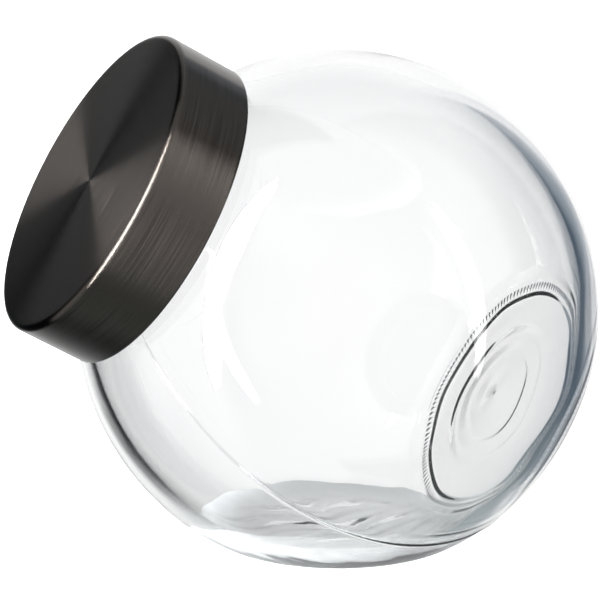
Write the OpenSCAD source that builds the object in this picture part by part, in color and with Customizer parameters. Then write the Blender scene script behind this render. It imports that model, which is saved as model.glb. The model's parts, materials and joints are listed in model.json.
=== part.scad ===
// Globe jar for saving coins: a moulded glass globe that rests tilted on a flat,
// with a wide threaded neck and a brushed metal screw lid.
// Millimetres. The origin is the centre of the tilt foot, +Z is up, and the neck points to -X.

/* [Globe] */
// Outer diameter of the glass globe
globe_d = 152; // [148:1:158]
// Thickness of the globe's wall
wall = 4; // [3:0.5:5]
// Angle of the neck above level when the jar rests on its tilt foot
tilt = 30; // [26:1:34]

/* [Tilt foot] */
// Diameter of the flat that the jar rests on
foot_d = 64; // [56:1:66]
// Thickness of the glass over the tilt foot
foot_wall = 5; // [4:0.5:7]

/* [Base] */
// Diameter of the bearing ring that the jar stands on when it is upright
base_d = 80; // [72:1:82]
// Thickness of the glass at the middle of the base's inner floor, before the push-up
base_wall = 5.5; // [5:0.5:8]
// Diameter of the hollow push-up inside the bearing ring
punt_d = 68; // [56:1:70]
// Depth of the push-up
punt_depth = 2.5; // [1:0.5:3]
// Radius of the soft corner between the inner floor and the wall
floor_fillet = 8; // [6:1:14]

/* [Neck] */
// Diameter of the neck at the root of its thread
neck_d = 85.6; // [84.6:0.1:86]
// Diameter over the crest of the neck's thread
neck_thread_d = 88.6; // [88:0.1:88.8]
// Diameter of the mouth
mouth_d = 78; // [74:0.5:79]
// Height of the sealing rim above the globe's centre, along the neck
rim_height = 82.4; // [81.5:0.1:83.5]
// Rounding of the rim's two edges
rim_round = 1.2; // [0.8:0.1:1.6]
// Diameter of the bead below the thread
bead_d = 87.8; // [87.2:0.1:88]

/* [Thread] */
// Lead of the single-start right-hand thread
lead = 5.08; // [5:0.02:5.1]
// Turns of thread on the neck
neck_turns = 1.2; // [1:0.05:1.3]
// Turns of thread in the lid's insert
insert_turns = 1.1; // [1:0.05:1.2]

/* [Lid] */
// Outer diameter of the metal shell
lid_d = 92.4; // [92.4:0.1:94]
// Height of the metal shell
lid_h = 22.2; // [21.5:0.1:22.4]
// Thickness of the shell's metal
shell_t = 0.45; // [0.35:0.05:0.5]
// Rounding of the shell's upper edge
shell_round = 1.8; // [1:0.1:3]
// Thickness of the insert's top
insert_top = 1.6; // [1.2:0.1:2]
// Thickness of the insert's skirt
insert_wall = 1; // [0.9:0.05:1.1]
// Room for the sealing ring between the rim and the insert
gasket_room = 1.2; // [1:0.1:1.5]

/* [Hidden] */
$fn = 96;

globe_r = globe_d / 2;
inner_r = globe_r - wall;
// Height of the globe's centre above the surface that the foot rests on
centre_z = sqrt(globe_r * globe_r - foot_d * foot_d / 4);
// Distance from the globe's centre to the plane of the bearing ring
base_plane = sqrt(globe_r * globe_r - base_d * base_d / 4);
// Distance from the globe's centre to the inner floor
floor_plane = base_plane - base_wall;
// Radius of the sphere that forms the push-up
punt_r = (punt_d * punt_d / 4 + punt_depth * punt_depth) / (2 * punt_depth);

// Height of the lid's face above the globe's centre, along the neck
lid_face = rim_height + gasket_room + insert_top + shell_t;
skirt_end = lid_face - lid_h;
// Radial gap between the shell and the insert that is pressed into it
seat_gap = 0.05;
insert_r = lid_d / 2 - shell_t - seat_gap;
insert_inner_r = insert_r - insert_wall;
// The shell's rim is rolled inwards to a bead of this radius, which holds the insert in
curl_r = 0.55;
insert_end = skirt_end + 2 * curl_r + 0.1;
under_top = rim_height + gasket_room;
// The loose sealing ring has this much play above and below it
seal_play = 0.04;

// Thread profile: half widths at the root and at the crest
neck_ridge_root = 1.5;
neck_ridge_crest = 0.5;
insert_ridge_root = 1.05;
insert_ridge_crest = 0.35;
insert_ridge_h = 1.45;
// How far a ridge's root is sunk into the wall that carries it
ridge_sink = 0.4;
// Height of the thread's first ring on the neck, at angle 0
neck_thread_start = rim_height - 10;
// The insert's ridge runs this far below the neck's ridge, with a gap between their flanks
ridge_offset = 1.95;
// Degrees between two rings of a thread ridge, and the length of its faded ends
ridge_step = 7.5;
ridge_fade = 30;

function arc(c, r, a0, a1, n) =
    [for (i = [0:n]) c + r * [cos(a0 + (a1 - a0) * i / n), sin(a0 + (a1 - a0) * i / n)]];

// Places its children on the neck's axis, with their origin at the globe's centre
module on_neck_axis()
    translate([0, 0, centre_z]) rotate([0, tilt - 90, 0]) children();

// Half space above a height in the row's own frame
module above(z)
    translate([-2 * globe_r, -2 * globe_r, z]) cube(4 * globe_r);

// Helical ridge with a trapezium profile that fades in and out at its ends.
// Its root is on radius r_root and its crest stands h out of it, inwards if h is negative.
module thread_ridge(r_root, h, half_root, half_crest, turns, z_start) {
    side = sign(h);
    last = round(turns * 360 / ridge_step);
    function fade(i) = min(1, 0.15 + min(i, last - i) * ridge_step / ridge_fade);
    function ring(i) =
        let (a = i * ridge_step, z = z_start + lead * a / 360,
             r0 = r_root - side * ridge_sink, r1 = r_root + h * fade(i))
        [for (p = [[r0, -half_root], [r1, -half_crest], [r1, half_crest], [r0, half_root]])
            [p[0] * cos(a), p[0] * sin(a), z + p[1]]];
    points = [for (i = [0:last]) each ring(i)];
    // Each side face of a ridge segment is two triangles, wound for its side of the wall
    function wound(f) = side < 0 ? f : [for (k = [len(f) - 1:-1:0]) f[k]];
    sides = [for (i = [0:last - 1], k = [0:3])
        let (a = 4 * i + k, b = 4 * i + (k + 1) % 4)
        each [wound([a, a + 4, b]), wound([b, a + 4, b + 4])]];
    ends = [wound([0, 1, 2]), wound([0, 2, 3]),
            wound([4 * last + 2, 4 * last + 1, 4 * last]),
            wound([4 * last + 3, 4 * last + 2, 4 * last])];
    polyhedron(points, concat(sides, ends));
}

// Neck with a rounded rim and the bead below the thread, rooted inside the globe's wall
module neck() {
    root = neck_d / 2;
    mouth = mouth_d / 2;
    bead = bead_d / 2;
    bead_z = skirt_end + 2.2;
    rotate_extrude()
        polygon(concat(
            [[mouth - 1, globe_r * 0.8], [root, globe_r * 0.8], [root, bead_z - 1.4]],
            arc([bead - 0.8, bead_z], 0.8, -60, 60, 6),
            [[root, bead_z + 1.4]],
            arc([root - rim_round, rim_height - rim_round], rim_round, 0, 90, 5),
            arc([mouth + rim_round, rim_height - rim_round], rim_round, 90, 180, 5),
            [[mouth - 1, rim_height - rim_round]]));
}

// Hollow of the jar: the mouth, the globe's inside, and a thick floor with a soft corner
module hollow() {
    corner = inner_r - floor_fillet;
    fillet_z = floor_plane - floor_fillet;
    fillet_x = sqrt(corner * corner - fillet_z * fillet_z);
    contact_angle = -atan2(fillet_z, fillet_x);
    mouth_angle = acos(mouth_d / 2 / inner_r);
    rotate_extrude()
        polygon(concat(
            [[0, rim_height + 1], [mouth_d / 2, rim_height + 1]],
            arc([0, 0], inner_r, mouth_angle, contact_angle, 30),
            arc([fillet_x, -fillet_z], floor_fillet, contact_angle - 4, -90, 8),
            [[0, -floor_plane]]));
}

module glass_jar()
    color([0.90, 0.93, 0.94, 0.35])
    difference() {
        intersection() {
            on_neck_axis() difference() {
                union() {
                    sphere(globe_r);
                    neck();
                    thread_ridge(neck_d / 2, (neck_thread_d - neck_d) / 2, neck_ridge_root,
                        neck_ridge_crest, neck_turns, neck_thread_start);
                }
                translate([0, 0, -base_plane - globe_r]) cylinder(r = globe_r, h = globe_r);
                translate([0, 0, -base_plane - punt_r + punt_depth]) sphere(punt_r);
            }
            above(0);
        }
        intersection() {
            on_neck_axis() hollow();
            above(foot_wall);
        }
    }

// Drawn metal cap with a rolled lower edge
module lid_shell() {
    r = lid_d / 2;
    curl = [r - curl_r, skirt_end + curl_r];
    inner_round = shell_round - shell_t;
    color([0.24, 0.23, 0.22])
    on_neck_axis() rotate_extrude()
        polygon(concat(
            [[0, lid_face]],
            arc([r - shell_round, lid_face - shell_round], shell_round, 90, 0, 8),
            arc(curl, curl_r, 0, -250, 14),
            [[r - shell_t, skirt_end + 2 * curl_r]],
            arc([r - shell_round, lid_face - shell_round], inner_round, 0, 90, 8),
            [[0, lid_face - shell_t]]));
}

// Moulded threaded insert, pressed into the shell
module lid_insert() {
    top = lid_face - shell_t;
    corner = shell_round - shell_t;
    color([0.13, 0.13, 0.14])
    on_neck_axis() {
        rotate_extrude()
            polygon(concat(
                [[0, top]],
                arc([insert_r - corner, top - corner], corner, 90, 0, 6),
                [[insert_r, insert_end], [insert_inner_r, insert_end],
                 [insert_inner_r, under_top], [0, under_top]]));
        thread_ridge(insert_inner_r, -insert_ridge_h, insert_ridge_root,
            insert_ridge_crest, insert_turns, neck_thread_start - ridge_offset);
    }
}

// Soft sealing ring between the rim and the insert
module lid_gasket() {
    thickness = gasket_room - 2 * seal_play;
    color([0.80, 0.80, 0.78])
    on_neck_axis() translate([0, 0, rim_height + seal_play]) difference() {
        cylinder(r = insert_inner_r - 0.35, h = thickness);
        translate([0, 0, -1]) cylinder(d = mouth_d - 1, h = thickness + 2);
    }
}

glass_jar();
lid_shell();
lid_insert();
lid_gasket();
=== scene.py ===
import json

import bpy
import numpy as np
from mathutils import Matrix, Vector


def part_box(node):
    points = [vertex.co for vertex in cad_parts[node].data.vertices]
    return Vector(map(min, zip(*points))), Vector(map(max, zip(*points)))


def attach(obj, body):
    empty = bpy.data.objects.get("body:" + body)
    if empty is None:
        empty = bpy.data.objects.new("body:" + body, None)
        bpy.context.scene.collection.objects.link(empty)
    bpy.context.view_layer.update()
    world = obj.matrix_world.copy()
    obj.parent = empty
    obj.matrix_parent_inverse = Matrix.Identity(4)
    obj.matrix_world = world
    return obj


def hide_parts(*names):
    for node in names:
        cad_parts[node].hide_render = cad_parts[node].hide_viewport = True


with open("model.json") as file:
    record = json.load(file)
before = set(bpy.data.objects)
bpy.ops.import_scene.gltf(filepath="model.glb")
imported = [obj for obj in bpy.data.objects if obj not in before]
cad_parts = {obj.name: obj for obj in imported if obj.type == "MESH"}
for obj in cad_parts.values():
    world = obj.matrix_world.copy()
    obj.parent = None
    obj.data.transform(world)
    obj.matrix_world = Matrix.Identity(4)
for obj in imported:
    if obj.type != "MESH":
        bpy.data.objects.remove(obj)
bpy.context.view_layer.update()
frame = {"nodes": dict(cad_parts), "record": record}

# The jar's own lines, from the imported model: the globe's centre and the neck's axis are where the lid turns.
# The globe's width gives its radius, and the base's bearing plane is where the base_ring mount says.
MM = 0.001
turn = next(j for j in frame["record"]["behaviour"]["joints"] if j["name"] == "lid_turn")
base_ring = next(m for m in frame["record"]["mounts"] if m["name"] == "base_ring")
centre = np.array(turn["pos_m"])
neck_axis = np.array(turn["axis"]) / np.linalg.norm(turn["axis"])
across_up = np.array([neck_axis[2], 0.0, -neck_axis[0]])
across_side = np.cross(neck_axis, across_up)
globe_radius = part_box("glass_jar")[1][1] / MM
base_plane = np.dot(centre - np.array(base_ring["pos_m"]), neck_axis) / MM


# Glass jar: one moulding of clear soda-lime glass, blown in a two-part mould and fire-polished, so that every
# corner is soft. Opposite the mouth it has a thick base with a knurled bearing ring and a push-up, and the
# globe's wall is pressed flat where the jar rests tilted. Lengths in this section are millimetres.
WALL = 4.6
FOOT_WALL = 5.5
BASE_WALL = 5.4
HUMP = 1.4
RING_RADII = (35.2, 39.4)
KNURL_RADIUS = 37.8
KNURLS = 144
NECK_RADIUS = 42.8
MOUTH_RADIUS = 39.0
RIM_HEIGHT = 82.4
BEAD_HEIGHT = 65.6
THREAD_LEAD = 5.08
THREAD_START = RIM_HEIGHT - 10.0
THREAD_TURNS = 1.2
THREAD_HEIGHT = 1.5
THREAD_HALF_WIDTH = 1.5
KNURL_DEPTH = 0.3
SEAM_HALF_WIDTH = 0.35


def arc(r, s, radius, start, end):
    """Points round a circle about (r, s) from one angle to another, in degrees from the radial direction."""
    angles = np.radians(np.linspace(start, end, 60))
    return np.column_stack([r + radius * np.cos(angles), s + radius * np.sin(angles)])


def soften(outline, spread):
    """The outline resampled every 0.1 mm and averaged with a bell curve of that spread, which rounds its
    corners. Past an end on the axis it goes on as its own mirror image, so that it meets the axis
    squarely."""
    step = 0.1
    length = np.append(0.0, np.cumsum(np.hypot(*np.diff(outline, axis=0).T)))
    at = np.linspace(0.0, length[-1], int(length[-1] / step) + 1)
    line = np.column_stack([np.interp(at, length, outline[:, k]) for k in (0, 1)])
    pad = int(4 * spread / step)
    flip = np.array([-1.0, 1.0])
    line = np.vstack([line[pad:0:-1] * flip, line, line[-2:-pad - 2:-1] * flip])
    bell = np.exp(-0.5 * (np.arange(-pad, pad + 1) * step / spread) ** 2)
    return np.column_stack([np.convolve(line[:, k], bell / bell.sum(), "valid") for k in (0, 1)])


def thin_out(outline, per_mm, per_turn):
    """The outline with only so many points to a millimetre, which may differ from place to place, and so many
    more to each full turn of its heading."""
    along = np.gradient(outline, axis=0)
    heading = np.unwrap(np.arctan2(along[:, 1], along[:, 0]))
    weight = np.hypot(*along.T) * per_mm + per_turn / (2 * np.pi) * np.abs(np.gradient(heading))
    run = np.cumsum(weight) - weight[0]
    at = np.interp(np.linspace(0.0, run[-1], int(run[-1])), run, np.arange(len(run)))
    picked = np.column_stack([np.interp(at, np.arange(len(run)), outline[:, k]) for k in (0, 1)])
    picked[[0, -1], 0] = 0.0
    return picked


def thread_height(height, angle, start, turns, half_width):
    """How far a helical thread stands out at each point, from 0 to 1: a flat-topped ridge about the helix,
    which rises with the angle by one lead a turn and fades in and out over the last 30 degrees at its
    ends."""
    first = angle[None, :] / (2 * np.pi)
    result = np.zeros((len(height), len(angle)))
    for k in range(int(np.ceil(turns)) + 1):
        turn_count = first + k
        off = np.abs(height[:, None] - start - THREAD_LEAD * turn_count) / half_width
        ridge = np.clip((1.0 - off) / 0.6, 0.0, 1.0)
        fade = np.clip(np.minimum(turn_count, turns - turn_count) * 12.0, 0.0, 1.0)
        result = np.maximum(result, ridge * ridge * (3 - 2 * ridge) * fade)
    return result


def lathe(name, radius, height, angle, fine):
    """A closed mesh on the neck's axis, from rows of the outline by an even number of columns of the angle,
    with one point at each pole. Only the fine rows keep every column: the others keep every second one, and
    where the two meet, each face has one corner more. The outline runs from one pole to the other with the
    outside on its right."""
    ring = np.cos(angle)[:, None] * across_up + np.sin(angle)[:, None] * across_side
    points, index, faces = [], [], []
    total = 0
    for k in range(1, len(radius) - 1):
        step = 1 if fine[k] else 2
        row = centre + MM * (radius[k, ::step, None] * ring[::step] + height[k, ::step, None] * neck_axis)
        points.append(row)
        index.append(np.arange(total, total + len(row)))
        total += len(row)
    for here, there in zip(index[:-1], index[1:]):
        shared = min(len(here), len(there))
        low = here[::len(here) // shared]
        high = there[::len(there) // shared]
        corners = [low, np.roll(low, -1), np.roll(high, -1), high]
        if len(here) > len(low):
            corners.insert(1, here[1::2])
        if len(there) > len(high):
            corners.insert(3, there[1::2])
        faces += np.stack(corners, axis=-1).tolist()
    poles = centre + MM * height[[0, -1], 0][:, None] * neck_axis
    first, last = index[0], index[-1]
    faces += np.column_stack([np.full(len(first), total), np.roll(first, -1), first]).tolist()
    faces += np.column_stack([np.full(len(last), total + 1), last, np.roll(last, -1)]).tolist()
    mesh = bpy.data.meshes.new(name)
    mesh.from_pydata(np.vstack(points + [poles]).tolist(), [], faces)
    mesh.shade_smooth()
    piece = bpy.data.objects.new(name, mesh)
    bpy.context.scene.collection.objects.link(piece)
    return piece


inner_radius = globe_radius - WALL
floor_plane = base_plane - BASE_WALL
shoulder = np.degrees(np.arccos(NECK_RADIUS / globe_radius))
inner_shoulder = np.degrees(np.arccos(MOUTH_RADIUS / inner_radius))
base_edge = np.degrees(np.arcsin(base_plane / globe_radius))
floor_edge = np.degrees(np.arcsin(floor_plane / inner_radius))
ring_in, ring_out = RING_RADII
jar_outline = np.vstack([
    # The push-up: a low cone with two steps in it, and a flat band out to the bearing ring
    [[0.0, 3.2 - base_plane], [14.0, 1.9 - base_plane], [14.6, 2.15 - base_plane], [20.0, 1.5 - base_plane]],
    [[20.8, 1.7 - base_plane], [24.5, 1.1 - base_plane], [ring_in - 1.2, 0.8 - base_plane]],
    [[ring_in, -base_plane], [ring_out, -base_plane]],
    arc(0, 0, globe_radius, 0.5 - base_edge, shoulder),
    [[NECK_RADIUS, BEAD_HEIGHT - 1.6], [NECK_RADIUS + 1.1, BEAD_HEIGHT - 0.6]],
    [[NECK_RADIUS + 1.1, BEAD_HEIGHT + 0.6], [NECK_RADIUS, BEAD_HEIGHT + 1.6]],
    [[NECK_RADIUS, RIM_HEIGHT - 0.5], [NECK_RADIUS - 0.6, RIM_HEIGHT]],
    [[MOUTH_RADIUS + 0.6, RIM_HEIGHT], [MOUTH_RADIUS, RIM_HEIGHT - 0.5]],
    arc(0, 0, inner_radius, inner_shoulder, 2.5 - floor_edge),
    [[inner_radius * np.cos(np.radians(floor_edge)) - 2.5, -floor_plane], [25.0, 0.15 - floor_plane]],
    [[0.0, HUMP - floor_plane]],
])
line = soften(jar_outline, 0.45)
top = np.argmax(line[:, 1])
in_order = np.arange(len(line))
base_part = (in_order < top) & (line[:, 1] < 5.0 - base_plane)
neck_part = (in_order < top) & (line[:, 1] > BEAD_HEIGHT - 2.0)
line = thin_out(line, np.select([base_part, neck_part], [1.35, 1.8], 0.24), 26)
is_outside = np.arange(len(line)) < np.argmax(line[:, 1])

SEAM_ANGLES = np.radians([180.0 + 46.0, 46.0])
SEAM_HEIGHTS = np.array([0.26, 0.06])
coarse = np.linspace(0, 2 * np.pi, 360, endpoint=False)
near_seam = (SEAM_ANGLES[:, None] + np.radians([-0.45, -0.2, 0.0, 0.2, 0.45])).ravel()
coarse = np.unique(np.concatenate([coarse, near_seam]))
around = np.column_stack([coarse, (coarse + np.append(coarse[1:], 2 * np.pi)) / 2]).ravel()

r, s = line[:, 0][:, None], line[:, 1][:, None]
outside = is_outside[:, None]
radius = np.repeat(r, len(around), axis=1)
height = np.repeat(s, len(around), axis=1)
# The thread, the knurls of the bearing ring, and the mould's two seams, of which the back one is nearly melted
# away
on_thread = np.where(outside & (s > BEAD_HEIGHT + 2), THREAD_HEIGHT, 0.0)
radius += on_thread * thread_height(s[:, 0], around, THREAD_START, THREAD_TURNS, THREAD_HALF_WIDTH)
on_ring = np.exp(-(((r - KNURL_RADIUS) / 1.1) ** 4)) * (s < 1.5 - base_plane) * outside
height += KNURL_DEPTH * on_ring * np.sin(around * KNURLS / 2)[None, :] ** 2
seam_part = outside & (r > ring_out + 2) & (s < BEAD_HEIGHT - 3)
for seam_angle, seam_height in zip(SEAM_ANGLES, SEAM_HEIGHTS):
    seam_off = np.abs((around - seam_angle + np.pi) % (2 * np.pi) - np.pi)[None, :] * r
    radius += seam_height * np.exp(-((seam_off / SEAM_HALF_WIDTH) ** 2)) * seam_part
fine = is_outside & (line[:, 1] < 3.0 - base_plane) & (np.abs(line[:, 0] - KNURL_RADIUS) < 3.5)
jar = lathe("glass_jar_moulding", radius, height, around, fine)

# The blown wall: its inside wanders a little in thickness, most of all over the tilt foot, where the glass
# chilled first. The globe swells a little round that foot.
SWELL = 0.3
WALL_WANDER = 0.07
FOOT_RIPPLE = 0.30
place = np.empty(len(jar.data.vertices) * 3)
jar.data.vertices.foreach_get("co", place)
place = place.reshape(-1, 3)
from_centre = (place - centre) / MM
span = np.linalg.norm(from_centre, axis=1)
along_neck = from_centre @ neck_axis
row_size = np.where(fine, len(around), len(around) // 2)[1:-1]
inner_skin = np.append(np.repeat(~is_outside[1:-1], row_size), [False, True])
in_globe = along_neck < BEAD_HEIGHT - 6.0
foot_angle = np.degrees(np.arccos(np.clip(-from_centre[:, 2] / span, -1, 1)))
direction = from_centre / span[:, None]


def waves(direction, rate):
    """A smooth wander between about -1 and 1 over the globe: products of sines at a few mixed slants."""
    broad = np.sin(direction @ [5.1, 2.3, -4.2] * rate + 1.0) * np.cos(direction @ [-3.2, 6.1, 2.0] * rate)
    close = np.sin(direction @ [9.0, -7.5, 11.0] * rate + 2.0) * np.cos(direction @ [4.0, 12.0, -6.0] * rate)
    return broad + 0.6 * close


swell = SWELL * np.exp(-(((foot_angle - 36.0) / 13.0) ** 2))
push = np.where(in_globe & (along_neck > 3.0 - base_plane), swell, 0.0)
push = push + np.where(inner_skin & in_globe, WALL_WANDER * waves(direction, 1.0), 0.0)
place = place + MM * push[:, None] * direction


def rest_on(height, level, blend):
    """Heights below the level are lifted to it, with a parabola between the two over the blend either way."""
    above = np.clip(height - level, -blend, blend)
    return np.where(height > level + blend, height, level + (above + blend) ** 2 / (4 * blend))


outer_z = rest_on(place[:, 2] / MM, 0.0, 2.6)
chill = np.exp(-((foot_angle / 29.0) ** 6))
inner_z = rest_on(place[:, 2] / MM, FOOT_WALL, 3.0) + FOOT_RIPPLE * chill * waves(direction, 3.2)
place[:, 2] = MM * np.where(inner_skin, inner_z, outer_z)
jar.data.vertices.foreach_set("co", place.ravel())
jar.data.update()
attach(jar, "jar")
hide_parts("glass_jar")


def linear(hex_colour):
    """Linear RGBA of an sRGB hex colour such as "7f8c8d"."""
    srgb = np.array([int(hex_colour[k:k + 2], 16) for k in (0, 2, 4)]) / 255
    return (*np.where(srgb <= 0.04045, srgb / 12.92, ((srgb + 0.055) / 1.055) ** 2.4), 1.0)


def material(name):
    """A new node material with only its output."""
    new = bpy.data.materials.new(name)
    new.use_nodes = True
    new.node_tree.nodes.clear()
    return new, new.node_tree, add(new.node_tree, "ShaderNodeOutputMaterial")


def add(tree, kind, settings=None, **inputs):
    """Adds a node, with its settings, and its inputs by name with _ for a space: a socket is linked, and a
    value is set. An input of a plain index is written as i0, i1 and so on."""
    node = tree.nodes.new(kind)
    for key, value in (settings or {}).items():
        setattr(node, key, value)
    for key, value in inputs.items():
        socket = node.inputs[int(key[1:])] if key[1:].isdigit() else node.inputs[key.replace("_", " ")]
        if isinstance(value, bpy.types.NodeSocket):
            tree.links.new(value, socket)
        else:
            socket.default_value = value
    return node


# Soda-lime glass, fire-polished: clear, with a faint blue-grey cast that shows only where light goes a long
# way through it, at an edge
glass, tree, out = material("fire_polished_soda_lime_glass")
where = add(tree, "ShaderNodeTexCoord").outputs["Object"]
ripple = add(tree, "ShaderNodeTexNoise", Vector=where, Scale=42.0, Detail=1.5, Roughness=0.4)
skin = add(tree, "ShaderNodeBump", Strength=0.02, Distance=0.002, Height=ripple.outputs["Fac"])
body = add(tree, "ShaderNodeBsdfPrincipled", Base_Color=linear("ffffff"), Roughness=0.0, IOR=1.52,
           Transmission_Weight=1.0, Normal=skin.outputs["Normal"])
cast = add(tree, "ShaderNodeVolumeAbsorption", Color=linear("b4c4c9"), Density=4.0)
tree.links.new(body.outputs["BSDF"], out.inputs["Surface"])
tree.links.new(cast.outputs["Volume"], out.inputs["Volume"])
jar.data.materials.append(glass)


# Lid shell: drawn thin steel, black-nickel plated and brushed, with its lower edge rolled in. The face is
# spun, so its brush lines are rings, and the skirt's lines run round it too.
shell_low, shell_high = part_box("lid_shell")
LID_RADIUS = (shell_high[1] - shell_low[1]) / 2 / MM
GASKET_ROOM = 1.2
INSERT_TOP = 1.6
SHELL = 0.45
LID_FACE = RIM_HEIGHT + GASKET_ROOM + INSERT_TOP + SHELL
LID_HEIGHT = 22.2
SHELL_COLUMNS = 288
EDGE = 1.7
CURL = 0.55
skirt_end = LID_FACE - LID_HEIGHT
shell_outline = np.vstack([
    [[0.0, LID_FACE - SHELL]],
    arc(LID_RADIUS - EDGE, LID_FACE - EDGE, EDGE - SHELL, 90, 0),
    [[LID_RADIUS - SHELL, skirt_end + 2 * CURL]],
    arc(LID_RADIUS - CURL, skirt_end + CURL, CURL, 110, 360),
    arc(LID_RADIUS - EDGE, LID_FACE - EDGE, EDGE, 0, 90),
    [[0.0, LID_FACE]],
])
line = thin_out(soften(shell_outline, 0.08), 0.7, 60)
around = np.linspace(0, 2 * np.pi, SHELL_COLUMNS, endpoint=False)
radius = np.repeat(line[:, :1], SHELL_COLUMNS, 1)
height = np.repeat(line[:, 1:], SHELL_COLUMNS, 1)
shell = lathe("lid_shell_metal", radius, height, around, np.full(len(line), True))
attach(shell, "lid")
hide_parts("lid_shell")


def wrap_uv(piece, name):
    """A UV map with U once round the neck's axis, and V in metres outwards over the face and down the
    skirt."""
    mesh = piece.data
    co = np.empty(len(mesh.vertices) * 3)
    mesh.vertices.foreach_get("co", co)
    off = co.reshape(-1, 3) - centre
    side, up = off @ across_side, off @ across_up
    u = np.arctan2(side, up) / (2 * np.pi) % 1.0
    v = np.hypot(side, up) - off @ neck_axis
    corner = np.empty(len(mesh.loops), dtype=int)
    mesh.loops.foreach_get("vertex_index", corner)
    start = np.empty(len(mesh.polygons), dtype=int)
    mesh.polygons.foreach_get("loop_start", start)
    face = np.searchsorted(start, np.arange(len(corner)), side="right") - 1
    on_axis = np.hypot(side, up)[corner] < 1e-7
    loop_u = u[corner]
    high = np.zeros(len(start))
    np.maximum.at(high, face, np.where(on_axis, 0, loop_u))
    loop_u = np.where((high[face] - loop_u > 0.5) & ~on_axis, loop_u + 1.0, loop_u)
    other = np.zeros(len(start))
    np.add.at(other, face, np.where(on_axis, 0, loop_u))
    loop_u = np.where(on_axis, other[face] / 2, loop_u)
    layer = mesh.uv_layers.new(name=name)
    layer.data.foreach_set("uv", np.column_stack([loop_u, v[corner]]).ravel())


wrap_uv(shell, "brush")

# Brushed black nickel over steel: dark warm grey, with rings of fine lines that spread each highlight across
# them. The lines are about 0.2 mm apart, coarser than real brushing, so that they show.
metal, tree, out = material("brushed_black_nickel")
uv = add(tree, "ShaderNodeUVMap", {"uv_map": "brush"}).outputs["UV"]
stretched = add(tree, "ShaderNodeMapping", Vector=uv, Scale=(9.0, 5000.0, 1.0)).outputs["Vector"]
lines = add(tree, "ShaderNodeTexNoise", {"noise_dimensions": "2D"}, Vector=stretched, Scale=1.0, Detail=4.0,
            Roughness=0.6)
tone = add(tree, "ShaderNodeMapRange", Value=lines.outputs["Fac"], From_Min=0.3, From_Max=0.7)
tone = add(tree, "ShaderNodeMix", {"data_type": "RGBA"}, Factor=tone.outputs["Result"],
           i6=linear("3a3734"), i7=linear("57524e"))
rough = add(tree, "ShaderNodeMapRange", Value=lines.outputs["Fac"], From_Min=0.3, From_Max=0.7,
            To_Min=0.21, To_Max=0.26)
grooves = add(tree, "ShaderNodeBump", Strength=0.05, Distance=0.0001, Height=lines.outputs["Fac"])
grain = add(tree, "ShaderNodeTangent", {"direction_type": "UV_MAP", "uv_map": "brush"})
body = add(tree, "ShaderNodeBsdfPrincipled", Base_Color=tone.outputs[2], Metallic=1.0,
           Roughness=rough.outputs["Result"], Anisotropic=1.0, Anisotropic_Rotation=0.25,
           Tangent=grain.outputs["Tangent"], Normal=grooves.outputs["Normal"])
tree.links.new(body.outputs["BSDF"], out.inputs["Surface"])
shell.data.materials.append(metal)


# Lid insert: a moulded polypropylene cap with the thread inside, pressed into the shell
insert = frame["nodes"]["lid_insert"]
plastic, tree, out = material("moulded_black_polypropylene")
where = add(tree, "ShaderNodeTexCoord").outputs["Object"]
pebble = add(tree, "ShaderNodeTexNoise", Vector=where, Scale=1400.0, Detail=2.0)
skin = add(tree, "ShaderNodeBump", Strength=0.15, Distance=0.0001, Height=pebble.outputs["Fac"])
body = add(tree, "ShaderNodeBsdfPrincipled", Base_Color=linear("262628"), Roughness=0.42,
           Normal=skin.outputs["Normal"])
tree.links.new(body.outputs["BSDF"], out.inputs["Surface"])
insert.data.materials.clear()
insert.data.materials.append(plastic)


# Sealing ring: soft moulded elastomer, which lies between the rim of the glass and the insert
gasket = frame["nodes"]["lid_gasket"]
rubber, tree, out = material("moulded_translucent_elastomer")
where = add(tree, "ShaderNodeTexCoord").outputs["Object"]
mottle = add(tree, "ShaderNodeTexNoise", Vector=where, Scale=300.0, Detail=2.0)
tone = add(tree, "ShaderNodeMix", {"data_type": "RGBA"}, Factor=mottle.outputs["Fac"],
           i6=linear("cfcfcb"), i7=linear("dcdcd8"))
body = add(tree, "ShaderNodeBsdfPrincipled", Base_Color=tone.outputs[2], Roughness=0.55)
tree.links.new(body.outputs["BSDF"], out.inputs["Surface"])
gasket.data.materials.clear()
gasket.data.materials.append(rubber)


# Studio: a pale sweep to stand on, soft boxes, and a camera with a long lens
AZIMUTH, ELEVATION = np.radians([-20.1, 12.0])
LENS, SENSOR = 180.0, 36.0
DISTANCE = 11.495
LEFT_OF_GLOBE, ABOVE_GLOBE = 0.141, 0.041
right = np.array([np.cos(AZIMUTH), np.sin(AZIMUTH), 0.0])
back = np.array([
    np.sin(AZIMUTH) * np.cos(ELEVATION), -np.cos(AZIMUTH) * np.cos(ELEVATION), np.sin(ELEVATION)])
up = np.cross(back, right)
stand = centre + globe_radius * MM * (DISTANCE * back - LEFT_OF_GLOBE * right + ABOVE_GLOBE * up)
lens = bpy.data.cameras.new("camera")
lens.lens = LENS
lens.sensor_width = SENSOR
camera = bpy.data.objects.new("camera", lens)
turn_to = np.eye(4)
turn_to[:3, :3] = np.column_stack([right, up, back])
turn_to[:3, 3] = stand
camera.matrix_world = turn_to.T.tolist()
bpy.context.scene.collection.objects.link(camera)
bpy.context.scene.camera = camera
bpy.context.scene.view_settings.view_transform = "Standard"

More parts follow.
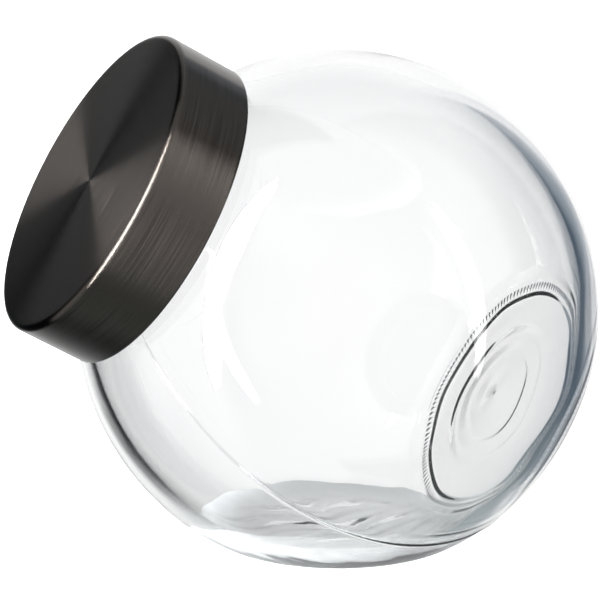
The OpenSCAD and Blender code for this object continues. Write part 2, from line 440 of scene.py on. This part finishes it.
# The sweep lies a hair below the foot. The glass shows only a patch of paper with the jar's shade painted on
# it, darker and glowing less, which lies between the two and is hidden from the camera.
FLOOR = 3.0
PATCH = 0.046
DROP = 0.0002
paper, tree, out = material("white_paper_sweep")
body = add(tree, "ShaderNodeBsdfPrincipled", Base_Color=linear("ebebeb"), Roughness=0.9,
           Emission_Color=linear("ffffff"), Emission_Strength=0.62)
tree.links.new(body.outputs["BSDF"], out.inputs["Surface"])
# Painted shade: the same paper, darker and with less glow, standing in for the shade the jar casts under its
# foot
painted_shade_paper, tree, out = material("paper_with_painted_jar_shade")
body = add(tree, "ShaderNodeBsdfPrincipled", Base_Color=linear("c4c8ca"), Roughness=0.9,
           Emission_Color=linear("ffffff"), Emission_Strength=0.32)
tree.links.new(body.outputs["BSDF"], out.inputs["Surface"])
SIDES = 96
circle = np.exp(1j * np.linspace(0, 2 * np.pi, SIDES, endpoint=False))
sheets = [("floor", paper, FLOOR, 2 * DROP), ("painted_shade_under_jar", painted_shade_paper, PATCH, DROP)]
for name, paper_tone, size, drop in sheets:
    corners = np.column_stack([size * circle.real, size * circle.imag, np.full(SIDES, -drop)])
    floor_mesh = bpy.data.meshes.new(name)
    floor_mesh.from_pydata(corners.tolist(), [], [list(range(SIDES))])
    floor_mesh.materials.append(paper_tone)
    floor = bpy.data.objects.new(name, floor_mesh)
    bpy.context.scene.collection.objects.link(floor)
    whole = name == "floor"
    floor.visible_camera = floor.visible_shadow = whole
    floor.visible_transmission = floor.visible_glossy = not whole


def soft_box(name, direction, distance, width, tall, power):
    """An oval light that faces the globe's centre from that direction, in the row's frame."""
    light = bpy.data.lights.new(name, "AREA")
    light.shape = "ELLIPSE"
    light.size, light.size_y = width, tall
    light.energy = power
    lamp = bpy.data.objects.new(name, light)
    facing = np.array(direction) / np.linalg.norm(direction)
    level = np.cross([0.0, 0.0, 1.0], facing)
    level = level / np.linalg.norm(level)
    place = np.eye(4)
    place[:3, :3] = np.column_stack([level, np.cross(facing, level), facing])
    place[:3, 3] = centre + distance * facing
    lamp.matrix_world = place.T.tolist()
    bpy.context.scene.collection.objects.link(lamp)
    return lamp


soft_box("left_strip", (-0.905, -0.257, 0.342), 1.2, 0.17, 2.2, 110.0)
soft_box("right_strip", (0.62, -0.70, 0.25), 1.2, 0.12, 1.6, 3.0)

# Light from all round, by its bearing from the way the camera looks, in degrees to the right: a white
# backdrop behind the jar, dark cards beside it that draw the edges of the glass, a white wall on the left,
# and a room behind the camera with a white wall to its right. The last number is how far a card shuts out
# the paler light from overhead and from below.
ROOM = [(-180, "d8d6d4", 0), (-134, "7b8084", 0), (-124, "ffffff", 0), (-85, "ffffff", 0),
        (-76, "1c1f23", 1), (-33, "1c1f23", 1), (-25, "ffffff", 0), (20, "ffffff", 0),
        (22, "a4aab1", 0), (29, "98a0a8", 0), (35, "43525f", 0), (60, "56626d", 0), (95, "8c8c8a", 0),
        (120, "a0a09e", 0), (135, "ffffff", 0), (160, "ffffff", 0), (180, "d8d6d4", 0)]
world = bpy.data.worlds.new("studio")
bpy.context.scene.world = world
world.use_nodes = True
tree = world.node_tree
tree.nodes.clear()
ray = add(tree, "ShaderNodeTexCoord").outputs["Generated"]
forward = np.array([-right[1], right[0], 0.0])
aside = add(tree, "ShaderNodeVectorMath", {"operation": "DOT_PRODUCT"}, i0=ray, i1=right).outputs["Value"]
ahead = add(tree, "ShaderNodeVectorMath", {"operation": "DOT_PRODUCT"}, i0=ray, i1=forward).outputs["Value"]
bearing = add(tree, "ShaderNodeMath", {"operation": "ARCTAN2"}, i0=aside, i1=ahead).outputs["Value"]
rise = add(tree, "ShaderNodeSeparateXYZ", Vector=ray).outputs["Z"]
turned = add(tree, "ShaderNodeMapRange", Value=bearing, From_Min=-np.pi, From_Max=np.pi).outputs["Result"]
tones = add(tree, "ShaderNodeValToRGB", Fac=turned)
ramp = tones.color_ramp.elements
while len(ramp) < len(ROOM):
    ramp.new(0.5)
for k, (degrees, tone, reach) in enumerate(ROOM):
    ramp[k].position = degrees / 360 + 0.5
    ramp[k].color = (*linear(tone)[:3], reach)
open_room = add(tree, "ShaderNodeMath", {"operation": "SUBTRACT"}, i0=1.0, i1=tones.outputs["Alpha"])
below = add(tree, "ShaderNodeMapRange", {"interpolation_type": "SMOOTHSTEP"}, Value=rise, From_Min=-0.3,
            From_Max=-0.95, To_Max=open_room.outputs["Value"])
overhead = add(tree, "ShaderNodeMapRange", {"interpolation_type": "SMOOTHSTEP"}, Value=rise, From_Min=0.4,
               From_Max=0.8, To_Max=open_room.outputs["Value"])
shade = add(tree, "ShaderNodeMix", {"data_type": "RGBA"}, Factor=below.outputs["Result"],
            i6=tones.outputs["Color"], i7=linear("a4adac"))
shade = add(tree, "ShaderNodeMix", {"data_type": "RGBA"}, Factor=overhead.outputs["Result"],
            i6=shade.outputs[2], i7=linear("d8dadc"))
seen = add(tree, "ShaderNodeLightPath").outputs["Is Camera Ray"]
colour = add(tree, "ShaderNodeMix", {"data_type": "RGBA"}, Factor=seen,
             i6=shade.outputs[2], i7=(1.0, 1.0, 1.0, 1.0))
glow = add(tree, "ShaderNodeBackground", Color=colour.outputs[2], Strength=1.05)
add(tree, "ShaderNodeOutputWorld", Surface=glow.outputs["Background"])
